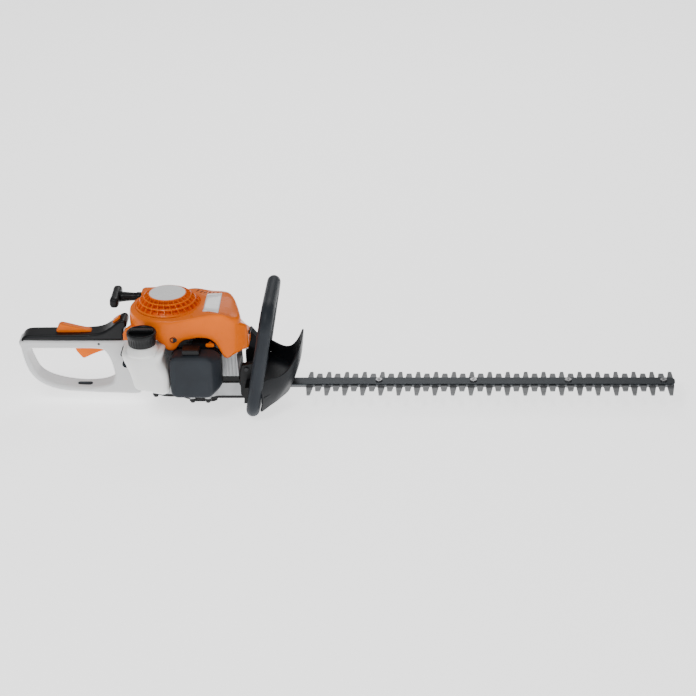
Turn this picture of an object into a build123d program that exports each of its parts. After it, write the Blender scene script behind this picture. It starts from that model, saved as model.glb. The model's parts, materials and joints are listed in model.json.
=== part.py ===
from build123d import *
from math import cos, pi, radians, sin
import os

# Petrol hedge trimmer with a double-sided blade.
# Frame: +X along the blade to its tip, +Z up, -Y the carburettor side.
# Origin: centre of the skid's flat sole, on the axis of the reduction gear.

os.makedirs("parts", exist_ok=True)

# ------------------------------------------------------------ driving sizes
# cutting gear
tooth_pitch = 30.0
long_teeth = 21
first_tooth_x = 178.5
long_reach = 43.0
short_reach = 32.0
spine_half = 11.5
blade_thick = 2.0
blade_gap = 0.2
tooth_plane = 30.0
blade_travel = 7.5
bar_width = 24.6
bar_thick = 2.5
bar_start = 46.0
bar_end = 786.0
screw_pitch = 157.5
screw_r = 3.0
screw_x = [136.9 + i * screw_pitch for i in range(5)]
bolt_x = [51.0, 75.0]

# drive train
crank_x = -52.0
gear_module = 1.3
pinion_teeth = 14
gear_teeth = 66
gear_low = 38.5
gear_high = 47.0
shaft_fit = 0.03

# engine
cylinder_z = 115.0
bore_r = 17.0
throw = 15.0
rod_length = 55.0
piston_pin_x = crank_x + throw + rod_length
case_r = 33.0
big_end_room = case_r - 2.4
web_r = 25.0

# starter
rope_y = 48.0
rope_z = 174.0
pulley_r = 30.0

# shroud
rim_r = 64.0
rim_z = 175.0
deck_z = 180.0
disc_r = 30.0
disc_z = 197.0
grille_r = 53.5

# handles
grip_half = 17.5
parting_z = 117.0
hoop_r = 11.2
hoop_lean = 0.178
hoop_foot_x = 88.0

# housing
housing_floor = 27.0
housing_roof = 53.0
clutch_top = 85.0
gear_case_r = 48.7
clutch_case_r = 35.0
lug_ring = 50.0
lug_angles = [-106, -76, 76, 106]

lower_blade_z = tooth_plane - blade_gap / 2 - blade_thick
upper_blade_z = tooth_plane + blade_gap / 2
bar_z = upper_blade_z + blade_thick + blade_gap
bar_top = bar_z + bar_thick
wall_lugs = [(lug_ring * cos(radians(a)), lug_ring * sin(radians(a))) for a in lug_angles]
rear_lugs = [(crank_x - 26.0, -27.0), (crank_x - 26.0, 27.0)]


def tooth_points(reach, tip, root):
    """Outline of one pair of opposite teeth, blunt at both tips."""
    half = [
        (-root / 2, spine_half - 1),
        (-tip / 2, reach - 1.5),
        (-tip / 2 + 1.2, reach),
        (tip / 2 - 1.2, reach),
        (tip / 2, reach - 1.5),
        (root / 2, spine_half - 1),
    ]
    return half + [(-x, -y) for x, y in half]


def gear_tooth(pitch_r):
    """Blunt gear tooth pointing along +X from the root circle."""
    root = pitch_r - 1.25 * gear_module
    tip = pitch_r + 0.85 * gear_module
    return [(root - 1, -1.3), (root, -1.3), (pitch_r, -0.78), (tip, -0.4),
            (tip, 0.4), (pitch_r, 0.78), (root, 1.3), (root - 1, 1.3)]


# ---------------------------------------------------------------- cutting gear
with BuildPart() as lower_blade:
    with BuildSketch(Plane.XY.offset(lower_blade_z)):
        with Locations((bar_end / 2, 0)):
            Rectangle(bar_end - 8, 2 * spine_half)
        RectangleRounded(62, 46, 6)
        with Locations([(first_tooth_x + i * tooth_pitch, 0) for i in range(long_teeth)]):
            Polygon(*tooth_points(long_reach, 6.0, 12.2), align=None)
        RectangleRounded(49, 34, 8, mode=Mode.SUBTRACT)
        with Locations([(x, 0) for x in bolt_x + screw_x]):
            SlotOverall(2 * (screw_r + blade_travel + 0.4), 2 * screw_r + 0.6, mode=Mode.SUBTRACT)
    extrude(amount=blade_thick)
lower_blade.part.label = "lower_blade"
export_step(lower_blade.part, "parts/lower_blade.step")

with BuildPart() as upper_blade:
    with BuildSketch(Plane.XY.offset(upper_blade_z)):
        with Locations((bar_end / 2, 0)):
            Rectangle(bar_end - 8, 2 * spine_half)
        RectangleRounded(62, 46, 6)
        with Locations([(first_tooth_x + (i + 0.5) * tooth_pitch, 0) for i in range(long_teeth - 1)]):
            Polygon(*tooth_points(short_reach, 8.3, 12.8), align=None)
        RectangleRounded(49, 34, 8, mode=Mode.SUBTRACT)
        with Locations([(x, 0) for x in bolt_x + screw_x]):
            SlotOverall(2 * (screw_r + blade_travel + 0.4), 2 * screw_r + 0.6, mode=Mode.SUBTRACT)
    extrude(amount=blade_thick)
upper_blade.part.label = "upper_blade"
export_step(upper_blade.part, "parts/upper_blade.step")

with BuildPart() as guide_bar:
    with BuildSketch(Plane.XY.offset(bar_z)) as bar_face:
        with Locations(((bar_start + bar_end) / 2, 0)):
            Rectangle(bar_end - bar_start, bar_width)
        fillet(bar_face.vertices().group_by(Axis.X)[-1], 9)
        with Locations([(x, 0) for x in bolt_x + screw_x]):
            Circle(screw_r, mode=Mode.SUBTRACT)
    extrude(amount=bar_thick)
    chamfer(guide_bar.faces().sort_by(Axis.Z)[-1].outer_wire().edges(), 0.6)
guide_bar.part.label = "guide_bar"
export_step(guide_bar.part, "parts/guide_bar.step")

nut_top = lower_blade_z - 0.3
nut_height = 4.6

with BuildPart() as blade_screws:
    with BuildSketch(Plane.XY.offset(nut_top - nut_height)):
        with Locations([(x, 0) for x in screw_x]):
            Circle(screw_r)
    extrude(amount=bar_top - nut_top + nut_height)
    with BuildSketch(Plane.XY.offset(bar_top)):
        with Locations([(x, 0) for x in screw_x]):
            Circle(5.5)
    extrude(amount=2.6)
    with BuildSketch(Plane.XY.offset(bar_top + 1.2)):
        with Locations([(x, 0) for x in screw_x]):
            RegularPolygon(2.5, 6)
    extrude(amount=1.4, mode=Mode.SUBTRACT)
blade_screws.part.label = "blade_screws"
export_step(blade_screws.part, "parts/blade_screws.step")

with BuildPart() as blade_nuts:
    with BuildSketch(Plane.XY.offset(nut_top - nut_height)):
        with Locations([(x, 0) for x in screw_x]):
            RegularPolygon(5.8, 6)
            Circle(screw_r, mode=Mode.SUBTRACT)
    extrude(amount=nut_height)
blade_nuts.part.label = "blade_nuts"
export_step(blade_nuts.part, "parts/blade_nuts.step")

with BuildPart() as bar_bolts:
    with BuildSketch(Plane.XY.offset(nut_top - nut_height)):
        with Locations([(x, 0) for x in bolt_x]):
            RegularPolygon(5.8, 6)
    extrude(amount=nut_height)
    with BuildSketch(Plane.XY.offset(nut_top)):
        with Locations([(x, 0) for x in bolt_x]):
            Circle(screw_r)
    extrude(amount=20)
bar_bolts.part.label = "bar_bolts"
export_step(bar_bolts.part, "parts/bar_bolts.step")

# ------------------------------------------------------------------ gear drive
shaft_r = 5.0
bearing_r = 9.5
shaft_low = 14.0
shaft_high = 57.0
pitch_gear = gear_module * gear_teeth / 2
pitch_pinion = gear_module * pinion_teeth / 2

with BuildPart() as gear_wheel:
    with BuildSketch(Plane.XY.offset(gear_low)):
        Circle(pitch_gear - 1.25 * gear_module)
        with PolarLocations(0, gear_teeth):
            Polygon(*gear_tooth(pitch_gear), align=None)
        with PolarLocations(28, 6):
            Circle(7, mode=Mode.SUBTRACT)
    extrude(amount=gear_high - gear_low)
    with BuildSketch(Plane.XY.offset(upper_blade_z)):
        with Locations((blade_travel, 0)):
            Circle(9)
        Circle(shaft_r + 1.5)
    extrude(amount=gear_low - upper_blade_z)
    with BuildSketch(Plane.XY.offset(lower_blade_z - 1)):
        with Locations((-blade_travel, 0)):
            Circle(9)
        Circle(shaft_r + 1.5)
    extrude(amount=upper_blade_z - lower_blade_z + 1)
    with BuildSketch(Plane.XY):
        Circle(shaft_r)
    extrude(amount=80, mode=Mode.SUBTRACT)
gear_wheel.part.label = "gear_wheel"
export_step(gear_wheel.part, "parts/gear_wheel.step")

with BuildPart() as gear_shaft:
    with BuildSketch(Plane.XY.offset(shaft_low)):
        Circle(shaft_r)
    extrude(amount=shaft_high - shaft_low)
    chamfer(gear_shaft.edges().filter_by(GeomType.CIRCLE), 0.6)
gear_shaft.part.label = "gear_shaft"
export_step(gear_shaft.part, "parts/gear_shaft.step")

drum_shaft_r = 6.0
drum_bearing_r = 12.0
drum_bearing_low = 49.0

with BuildPart() as bearings:
    with BuildSketch(Plane.XY.offset(shaft_low)):
        Circle(bearing_r)
        Circle(shaft_r + shaft_fit, mode=Mode.SUBTRACT)
    extrude(amount=6)
    with BuildSketch(Plane.XY.offset(shaft_high - 6)):
        Circle(bearing_r)
        Circle(shaft_r + shaft_fit, mode=Mode.SUBTRACT)
    extrude(amount=6)
    with BuildSketch(Plane.XY.offset(drum_bearing_low)):
        with Locations((crank_x, 0)):
            Circle(drum_bearing_r)
            Circle(drum_shaft_r + shaft_fit, mode=Mode.SUBTRACT)
    extrude(amount=6)
    for level in (clutch_top, 2 * cylinder_z - clutch_top - 8):
        with BuildSketch(Plane.XY.offset(level)):
            with Locations((crank_x, 0)):
                Circle(13)
                Circle(7.5 + shaft_fit, mode=Mode.SUBTRACT)
        extrude(amount=8)
bearings.part.label = "bearings"
export_step(bearings.part, "parts/bearings.step")

# clutch drum with the pinion cut on its shaft
drum_low = 56.0
drum_r = 27.5

with BuildPart() as clutch_drum:
    with BuildSketch(Plane.XY.offset(gear_low)):
        with Locations((crank_x, 0)):
            Circle(pitch_pinion - 1.25 * gear_module)
            with PolarLocations(0, pinion_teeth, start_angle=180 / pinion_teeth):
                Polygon(*gear_tooth(pitch_pinion), align=None)
    extrude(amount=gear_high - gear_low)
    with BuildSketch(Plane.XY.offset(gear_high)):
        with Locations((crank_x, 0)):
            Circle(drum_shaft_r)
    extrude(amount=drum_low - gear_high)
    with BuildSketch(Plane.XY.offset(drum_low)):
        with Locations((crank_x, 0)):
            Circle(drum_r)
    extrude(amount=20)
    with BuildSketch(Plane.XY.offset(drum_low + 2.5)):
        with Locations((crank_x, 0)):
            Circle(drum_r - 2)
    extrude(amount=20, mode=Mode.SUBTRACT)
clutch_drum.part.label = "clutch_drum"
export_step(clutch_drum.part, "parts/clutch_drum.step")

with BuildPart() as clutch_shoes:
    with BuildSketch(Plane.XY.offset(62)):
        with Locations((crank_x, 0)):
            Circle(drum_r - 4)
            Circle(9, mode=Mode.SUBTRACT)
            Rectangle(80, 7, mode=Mode.SUBTRACT)
    extrude(amount=12)
    with BuildSketch(Plane.XY.offset(62)):
        with Locations((crank_x, 0)):
            Circle(9.4)
            Circle(7.5, mode=Mode.SUBTRACT)
    extrude(amount=12)
clutch_shoes.part.label = "clutch_shoes"
export_step(clutch_shoes.part, "parts/clutch_shoes.step")

# ---------------------------------------------------------------- gear housing
flare = [(0, 27), (76, 27), (64, 50), (36, 50), (0, 50)]

with BuildPart() as gear_housing:
    with BuildSketch(Plane.XY.offset(housing_floor)):
        Circle(gear_case_r)
        with Locations((crank_x, 0)):
            Circle(clutch_case_r)
        with Locations((crank_x / 2, 0)):
            Rectangle(-crank_x, 2 * clutch_case_r)
        with Locations(*(wall_lugs + rear_lugs)):
            Circle(5.5)
    extrude(amount=housing_roof - housing_floor)
    with BuildSketch(Plane.XZ):
        Polygon(*flare, align=None)
    extrude(amount=40, both=True)
    with BuildSketch(Plane.XY.offset(housing_floor)):
        with Locations((77, 0)):
            Rectangle(16, 40)
    extrude(amount=23)
    with BuildSketch(Plane.XY.offset(housing_roof)):
        Circle(13)
        with Locations((crank_x, 0)):
            Circle(clutch_case_r)
    extrude(amount=4)
    with BuildSketch(Plane.XY.offset(housing_roof)):
        with Locations((crank_x, 0)):
            Circle(clutch_case_r)
    extrude(amount=clutch_top - housing_roof)
    # room for the gear, the blade heads and the pinion
    with BuildSketch(Plane.XY.offset(housing_floor)):
        Circle(45.2)
        with Locations((crank_x, 0)):
            Circle(14)
        with Locations((crank_x / 2, 0)):
            Rectangle(-crank_x, 28)
    extrude(amount=drum_bearing_low - housing_floor, mode=Mode.SUBTRACT)
    # blade channel, and the pad that the bar is clamped against
    with BuildSketch(Plane.XY.offset(housing_floor)):
        with Locations((62, 0)):
            Rectangle(47, 27)
    extrude(amount=bar_top - housing_floor, mode=Mode.SUBTRACT)
    with BuildSketch(Plane.XY.offset(housing_floor)):
        with Locations([(x, 0) for x in bolt_x]):
            Circle(screw_r)
        with Locations(*(wall_lugs + rear_lugs)):
            Circle(1.8)
    extrude(amount=nut_top + 20 - housing_floor, mode=Mode.SUBTRACT)
    with BuildSketch(Plane.XY.offset(housing_floor)):
        Circle(bearing_r)
        with Locations((crank_x, 0)):
            Circle(drum_bearing_r)
    extrude(amount=shaft_high - housing_floor, mode=Mode.SUBTRACT)
    with BuildSketch(Plane.XY.offset(drum_bearing_low + 6)):
        with Locations((crank_x, 0)):
            Circle(clutch_case_r - 4)
    extrude(amount=40, mode=Mode.SUBTRACT)
gear_housing.part.label = "gear_housing"
export_step(gear_housing.part, "parts/gear_housing.step")

cover_low = 16.0
flange_low = 22.0
with BuildPart() as bottom_cover:
    with BuildSketch(Plane.XY.offset(flange_low)):
        Circle(gear_case_r)
        with Locations((crank_x, 0)):
            Circle(clutch_case_r)
        with Locations((crank_x / 2, 0)):
            Rectangle(-crank_x, 2 * clutch_case_r)
        with Locations((38, 0)):
            Rectangle(76, 80)
        with Locations(*(wall_lugs + rear_lugs)):
            Circle(5.5)
    extrude(amount=housing_floor - flange_low)
    # the deeper pan stands back from the flange
    with BuildSketch(Plane.XY.offset(cover_low)):
        Circle(35)
        with Locations((crank_x, 0)):
            Circle(22)
        with Locations((8, 0)):
            Rectangle(120, 40)
    extrude(amount=flange_low - cover_low)
    with BuildSketch(Plane.XY):
        SlotOverall(44, 18)
    extrude(amount=cover_low)
    with BuildSketch(Plane.XY.offset(cover_low + 4)):
        Circle(31)
        with Locations((crank_x, 0)):
            Circle(18)
        with Locations((60, 0)):
            Rectangle(40, 27)
    extrude(amount=housing_floor - cover_low, mode=Mode.SUBTRACT)
    with BuildSketch(Plane.XY.offset(flange_low + 2.5)):
        Circle(45.2)
    extrude(amount=housing_floor - flange_low, mode=Mode.SUBTRACT)
    with BuildSketch(Plane.XY.offset(shaft_low)):
        Circle(bearing_r)
    extrude(amount=20, mode=Mode.SUBTRACT)
    with BuildSketch(Plane.XY.offset(flange_low)):
        with Locations(*(wall_lugs + rear_lugs)):
            Circle(1.8)
    extrude(amount=20, mode=Mode.SUBTRACT)
bottom_cover.part.label = "bottom_cover"
export_step(bottom_cover.part, "parts/bottom_cover.step")

with BuildPart() as cover_screws:
    with BuildSketch(Plane.XY.offset(flange_low - 3)):
        with Locations(*(wall_lugs + rear_lugs)):
            Circle(3.6)
    extrude(amount=3)
    with BuildSketch(Plane.XY.offset(flange_low)):
        with Locations(*(wall_lugs + rear_lugs)):
            Circle(1.8)
    extrude(amount=18)
cover_screws.part.label = "cover_screws"
export_step(cover_screws.part, "parts/cover_screws.step")

# ------------------------------------------------------------------- crankcase
case_low = clutch_top
case_high = 2 * cylinder_z - case_low


def case_half(floor_z, rim_side):
    """Cup around one crank web, open towards the cylinder."""
    with BuildPart() as half:
        with BuildSketch(Plane.XY.offset(floor_z)):
            with Locations((crank_x, 0)):
                Circle(case_r)
            with Locations((crank_x + 17.5, 0)):
                Rectangle(35, 56)
        extrude(amount=rim_side * (cylinder_z - case_low))
        with BuildSketch(Plane.XY.offset(floor_z + rim_side * 8)):
            with Locations((crank_x, 0)):
                Circle(case_r - 5)
            with Locations((crank_x + 15.5, 0)):
                Rectangle(31, 50)
        extrude(amount=rim_side * 22, mode=Mode.SUBTRACT)
        with BuildSketch(Plane.XY.offset(cylinder_z)):
            with Locations((crank_x, 0)):
                Circle(big_end_room)
        extrude(amount=-rim_side * 6, mode=Mode.SUBTRACT)
        with BuildSketch(Plane.YZ.offset(crank_x)):
            with Locations((0, cylinder_z)):
                Circle(bore_r + 0.6)
        extrude(amount=40, mode=Mode.SUBTRACT)
        with BuildSketch(Plane.XY.offset(floor_z)):
            with Locations((crank_x, 0)):
                Circle(13)
        extrude(amount=rim_side * 8, mode=Mode.SUBTRACT)
    return half.part


crankcase_lower = case_half(case_low, 1)
crankcase_lower.label = "crankcase_lower"
export_step(crankcase_lower, "parts/crankcase_lower.step")

crankcase_upper = case_half(case_high, -1)
crankcase_upper.label = "crankcase_upper"
export_step(crankcase_upper, "parts/crankcase_upper.step")

pin_half = 6.2
with BuildPart() as crankshaft:
    with BuildSketch(Plane.XY.offset(60)):
        with Locations((crank_x, 0)):
            Circle(7.5)
    extrude(amount=cylinder_z - pin_half - 0.3 - 60)
    with BuildSketch(Plane.XY.offset(cylinder_z + pin_half + 0.3)):
        with Locations((crank_x, 0)):
            Circle(7.5)
    extrude(amount=168 - cylinder_z - pin_half - 0.3)
    with BuildSketch(Plane.XY.offset(cylinder_z - pin_half - 12)):
        with Locations((crank_x, 0)):
            Circle(web_r)
    extrude(amount=11.7)
    with BuildSketch(Plane.XY.offset(cylinder_z + pin_half + 0.3)):
        with Locations((crank_x, 0)):
            Circle(web_r)
    extrude(amount=11.7)
crankshaft.part.label = "crankshaft"
export_step(crankshaft.part, "parts/crankshaft.step")

with BuildPart() as connecting_rod:
    with BuildSketch(Plane.XY.offset(cylinder_z - 5)):
        with Locations((piston_pin_x, 0)):
            Circle(8)
        with Locations((crank_x + throw, 0)):
            Circle(10.5)
        with Locations(((piston_pin_x + crank_x + throw) / 2, 0)):
            Rectangle(rod_length, 9)
        with Locations((piston_pin_x, 0)):
            Circle(4.5 + shaft_fit, mode=Mode.SUBTRACT)
    extrude(amount=10)
    with BuildSketch(Plane.XY.offset(cylinder_z - pin_half)):
        with Locations((crank_x + throw, 0)):
            Circle(6)
    extrude(amount=2 * pin_half)
connecting_rod.part.label = "connecting_rod"
export_step(connecting_rod.part, "parts/connecting_rod.step")

with BuildPart() as piston:
    with BuildSketch(Plane.YZ.offset(piston_pin_x - 13)):
        with Locations((0, cylinder_z)):
            Circle(bore_r - 0.05)
    extrude(amount=26)
    with BuildSketch(Plane.YZ.offset(piston_pin_x - 13)):
        with Locations((0, cylinder_z)):
            Circle(bore_r - 3)
    extrude(amount=22, mode=Mode.SUBTRACT)
    with BuildSketch(Plane.XY.offset(cylinder_z - 20)):
        with Locations((piston_pin_x, 0)):
            Circle(4.5)
    extrude(amount=40, mode=Mode.SUBTRACT)
piston.part.label = "piston"
export_step(piston.part, "parts/piston.step")

with BuildPart() as piston_pin:
    with BuildSketch(Plane.XY.offset(cylinder_z - 16)):
        with Locations((piston_pin_x, 0)):
            Circle(4.5)
    extrude(amount=32)
piston_pin.part.label = "piston_pin"
export_step(piston_pin.part, "parts/piston_pin.step")

barrel_start = crank_x + 35
head_x = 44.0
with BuildPart() as cylinder:
    with BuildSketch(Plane.YZ.offset(barrel_start)):
        with Locations((0, cylinder_z)):
            Circle(22)
    extrude(amount=head_x - barrel_start)
    for i in range(8):
        with BuildSketch(Plane.YZ.offset(barrel_start + 12 + i * 6)):
            with Locations((0, cylinder_z)):
                RectangleRounded(56, 56, 8)
        extrude(amount=1.8)
    with BuildSketch(Plane.XY.offset(cylinder_z - 11)):
        with Locations((8, 0)):
            Rectangle(24.4, 56)
    extrude(amount=22)
    with BuildSketch(Plane.YZ.offset(barrel_start)):
        with Locations((0, cylinder_z)):
            Circle(bore_r)
    extrude(amount=51, mode=Mode.SUBTRACT)
    with BuildSketch(Plane.YZ.offset(30)):
        with Locations((0, cylinder_z)):
            Circle(5)
    extrude(amount=30, mode=Mode.SUBTRACT)
    with BuildSketch(Plane.XZ):
        with Locations((8, cylinder_z)):
            Circle(6.5)
    extrude(amount=40, both=True, mode=Mode.SUBTRACT)
cylinder.part.label = "cylinder"
export_step(cylinder.part, "parts/cylinder.step")

with BuildPart() as spark_plug:
    with BuildSketch(Plane.YZ.offset(36)):
        with Locations((0, cylinder_z)):
            Circle(5)
    extrude(amount=8)
    with BuildSketch(Plane.YZ.offset(head_x)):
        with Locations((0, cylinder_z)):
            RegularPolygon(9, 6)
    extrude(amount=8)
    with BuildSketch(Plane.YZ.offset(head_x + 8)):
        with Locations((0, cylinder_z)):
            Circle(5)
    extrude(amount=24)
spark_plug.part.label = "spark_plug"
export_step(spark_plug.part, "parts/spark_plug.step")

with BuildPart() as spark_plug_boot:
    with BuildSketch(Plane.YZ.offset(head_x + 12)):
        with Locations((0, cylinder_z)):
            Circle(9)
            Circle(5, mode=Mode.SUBTRACT)
    extrude(amount=20)
    with BuildSketch(Plane.XZ):
        Polygon((76, 106), (88, 100), (95, 103), (95, 118), (84, 132), (76, 126), align=None)
    extrude(amount=9, both=True)
spark_plug_boot.part.label = "spark_plug_boot"
export_step(spark_plug_boot.part, "parts/spark_plug_boot.step")

flywheel_low = 147.0
with BuildPart() as flywheel:
    with BuildSketch(Plane.XY.offset(flywheel_low)):
        with Locations((crank_x, 0)):
            Circle(48)
    extrude(amount=5)
    with BuildSketch(Plane.XY.offset(flywheel_low)):
        with Locations((crank_x, 0)):
            Circle(13)
            with PolarLocations(35, 16):
                Rectangle(25, 2)
    extrude(amount=18)
    with BuildSketch(Plane.XY.offset(flywheel_low)):
        with Locations((crank_x, 0)):
            Circle(7.5)
    extrude(amount=30, mode=Mode.SUBTRACT)
flywheel.part.label = "flywheel"
export_step(flywheel.part, "parts/flywheel.step")

with BuildPart() as ignition_module:
    with BuildSketch(Plane.XY.offset(148)):
        with Locations((crank_x, 54.5)):
            Rectangle(22, 8)
    extrude(amount=14)
ignition_module.part.label = "ignition_module"
export_step(ignition_module.part, "parts/ignition_module.step")

with BuildPart() as muffler:
    with BuildSketch(Plane.XY.offset(84)):
        with Locations((5, 46)):
            RectangleRounded(48, 30, 8)
    extrude(amount=48)
    with BuildSketch(Plane.XZ.offset(-28)):
        with Locations((8, cylinder_z)):
            Rectangle(24, 22)
    extrude(amount=-4)
    with BuildSketch(Plane.XY.offset(86)):
        with Locations((5, 46)):
            RectangleRounded(44, 26, 6)
    extrude(amount=44, mode=Mode.SUBTRACT)
    with BuildSketch(Plane.XZ.offset(-28)):
        with Locations((8, cylinder_z)):
            Circle(6.5)
    extrude(amount=-10, mode=Mode.SUBTRACT)
muffler.part.label = "muffler"
export_step(muffler.part, "parts/muffler.step")

with BuildPart() as muffler_guard:
    with BuildSketch(Plane.XY.offset(78)):
        with Locations((5, 49)):
            RectangleRounded(56, 42, 10)
            RectangleRounded(51, 37, 8, mode=Mode.SUBTRACT)
        with Locations((5, 31)):
            Rectangle(60, 12, mode=Mode.SUBTRACT)
    extrude(amount=50)
    with BuildSketch(Plane.XZ.offset(-75)):
        with Locations((5, 103)):
            with GridLocations(0, 8, 1, 5):
                SlotOverall(36, 4)
    extrude(amount=20, both=True, mode=Mode.SUBTRACT)
muffler_guard.part.label = "muffler_guard"
export_step(muffler_guard.part, "parts/muffler_guard.step")

# ----------------------------------------------------------- intake and filter
with BuildPart() as intake_manifold:
    with BuildSketch(Plane.XZ.offset(28)):
        with Locations((8, cylinder_z)):
            RectangleRounded(30, 26, 4)
            Circle(6.5, mode=Mode.SUBTRACT)
    extrude(amount=8)
intake_manifold.part.label = "intake_manifold"
export_step(intake_manifold.part, "parts/intake_manifold.step")

with BuildPart() as carburettor:
    with BuildSketch(Plane.XZ.offset(36)):
        with Locations((8, 113)):
            RectangleRounded(38, 32, 3)
    extrude(amount=18)
    with BuildSketch(Plane.XZ.offset(36)):
        with Locations((8, cylinder_z)):
            Circle(6.5)
    extrude(amount=18, mode=Mode.SUBTRACT)
carburettor.part.label = "carburettor"
export_step(carburettor.part, "parts/carburettor.step")

filter_x = -7.5
filter_z = 88.0
filter_width = 71.0
filter_height = 77.0
filter_front = 100.0
filter_split = 64.0
latch_pin_y = -66.5
latch_pin_z = 132.2

with BuildPart() as filter_housing:
    with BuildSketch(Plane.XZ.offset(54)):
        with Locations((filter_x + 6, filter_z)):
            RectangleRounded(filter_width + 12, filter_height - 8, 12)
    extrude(amount=filter_split - 54.3)
    with BuildSketch(Plane.XZ.offset(57)):
        with Locations((filter_x + 6, filter_z)):
            RectangleRounded(filter_width + 6, filter_height - 14, 9)
    extrude(amount=10, mode=Mode.SUBTRACT)
    with BuildSketch(Plane.XZ.offset(50)):
        with Locations((8, cylinder_z - 3)):
            Circle(6)
    extrude(amount=10, mode=Mode.SUBTRACT)
filter_housing.part.label = "filter_housing"
export_step(filter_housing.part, "parts/filter_housing.step")

with BuildPart() as filter_element:
    with BuildSketch(Plane.XZ.offset(58)):
        with Locations((filter_x + 3, filter_z)):
            RectangleRounded(58, 56, 8)
    extrude(amount=16)
filter_element.part.label = "filter_element"
export_step(filter_element.part, "parts/filter_element.step")

with BuildPart() as filter_cover:
    with BuildSketch(Plane.XZ.offset(filter_split)) as cover_back:
        with Locations((filter_x + 6, filter_z)):
            RectangleRounded(filter_width + 12, filter_height, 13)
    with BuildSketch(Plane.XZ.offset(filter_front)) as cover_front:
        with Locations((filter_x, filter_z)):
            RectangleRounded(filter_width, filter_height, 8)
    loft()
    fillet(filter_cover.faces().sort_by(Axis.Y)[0].edges(), 5)
    with BuildSketch(Plane.XZ.offset(filter_split)):
        with Locations((filter_x + 5, filter_z)):
            RectangleRounded(filter_width + 2, filter_height - 6, 8)
    extrude(amount=filter_front - filter_split - 8, mode=Mode.SUBTRACT)
    for ear_x in (-24.6, 8.4):
        with BuildSketch(Plane.YZ.offset(ear_x)):
            Polygon((-69, 120), (-64.2, 120), (-64.2, 134), (-66, 135.5), (-69, 134), align=None)
        extrude(amount=2.2)
    with BuildSketch(Plane.YZ.offset(-24.6)):
        with Locations((latch_pin_y, latch_pin_z)):
            Circle(1.5)
    extrude(amount=35)
filter_cover.part.label = "filter_cover"
export_step(filter_cover.part, "parts/filter_cover.step")

with BuildPart() as filter_latch:
    with BuildSketch(Plane.YZ.offset(-22)):
        Polygon((-63.6, 130), (-63.6, 134), (-70, 137), (-84, 131), (-84, 127.2), (-66, 127.2), align=None)
        with Locations((latch_pin_y, latch_pin_z)):
            Circle(1.5 + shaft_fit, mode=Mode.SUBTRACT)
    extrude(amount=30)
filter_latch.part.label = "filter_latch"
export_step(filter_latch.part, "parts/filter_latch.step")

choke_x = 22.0
choke_z = 130.5
with BuildPart() as choke_knob:
    with BuildSketch(Plane.XZ.offset(54.3)):
        with Locations((choke_x, choke_z)):
            Circle(3)
    extrude(amount=6.6)
    with BuildSketch(Plane.XZ.offset(60.9)):
        with Locations((choke_x, choke_z)):
            SlotOverall(14, 6)
    extrude(amount=2.9)
choke_knob.part.label = "choke_knob"
export_step(choke_knob.part, "parts/choke_knob.step")

bulb_x = -38.0
bulb_z = 42.0
with BuildPart() as bulb_seat:
    with BuildSketch(Plane.XZ.offset(36)):
        with Locations((bulb_x, bulb_z)):
            Circle(8.5)
    extrude(amount=9)
    with BuildSketch(Plane.XZ.offset(41)):
        with Locations((bulb_x, bulb_z)):
            Circle(6.8)
    extrude(amount=9, mode=Mode.SUBTRACT)
    add(gear_housing.part, mode=Mode.SUBTRACT)
bulb_seat.part.label = "bulb_seat"
export_step(bulb_seat.part, "parts/bulb_seat.step")

with BuildPart() as primer_bulb:
    with BuildSketch(Plane.XZ.offset(44.5)):
        with Locations((bulb_x, bulb_z)):
            Circle(6.5)
    extrude(amount=7)
    fillet(primer_bulb.faces().sort_by(Axis.Y)[0].edges(), 4)
primer_bulb.part.label = "primer_bulb"
export_step(primer_bulb.part, "parts/primer_bulb.step")

# ----------------------------------------------------------- shroud and starter
shroud_low = 134.0
wall = 2.6


def shroud_plan(inset):
    """Plan of the shroud: a round starter end running into a straight deck."""
    with BuildSketch(Plane.XY) as plan:
        with Locations((crank_x, 0)):
            Circle(rim_r - inset)
        with BuildLine():
            Polyline(
                (crank_x, -rim_r + inset), (10, -62 + inset), (60, -56 + inset), (84 - inset, -40),
                (84 - inset, 40), (60, 56 - inset), (10, 62 - inset), (crank_x, rim_r - inset),
                close=True,
            )
        make_face()
    return plan.sketch


with BuildPart() as cheeks:
    with BuildSketch(Plane.XY.offset(shroud_low - 24)):
        add(shroud_plan(0))
        add(shroud_plan(wall), mode=Mode.SUBTRACT)
    extrude(amount=24)
    with BuildSketch(Plane.XZ):
        Polygon((34, 134), (49, 110), (56, 118), (90, 118), (90, 134), align=None)
    extrude(amount=80, both=True, mode=Mode.INTERSECT)
    with BuildSketch(Plane.XY.offset(shroud_low - 24)):
        with Locations((84, 0)):
            Rectangle(10, 76)
    extrude(amount=24, mode=Mode.SUBTRACT)

with BuildPart() as hollow:
    with BuildSketch(Plane.XY.offset(shroud_low - 1)):
        add(shroud_plan(wall))
    extrude(amount=rim_z - shroud_low - wall + 1)
    with BuildSketch(Plane.XZ):
        Polygon((55, 179), (90, 179), (90, 147), (81, 155), align=None)
    extrude(amount=70, both=True, mode=Mode.SUBTRACT)

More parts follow.
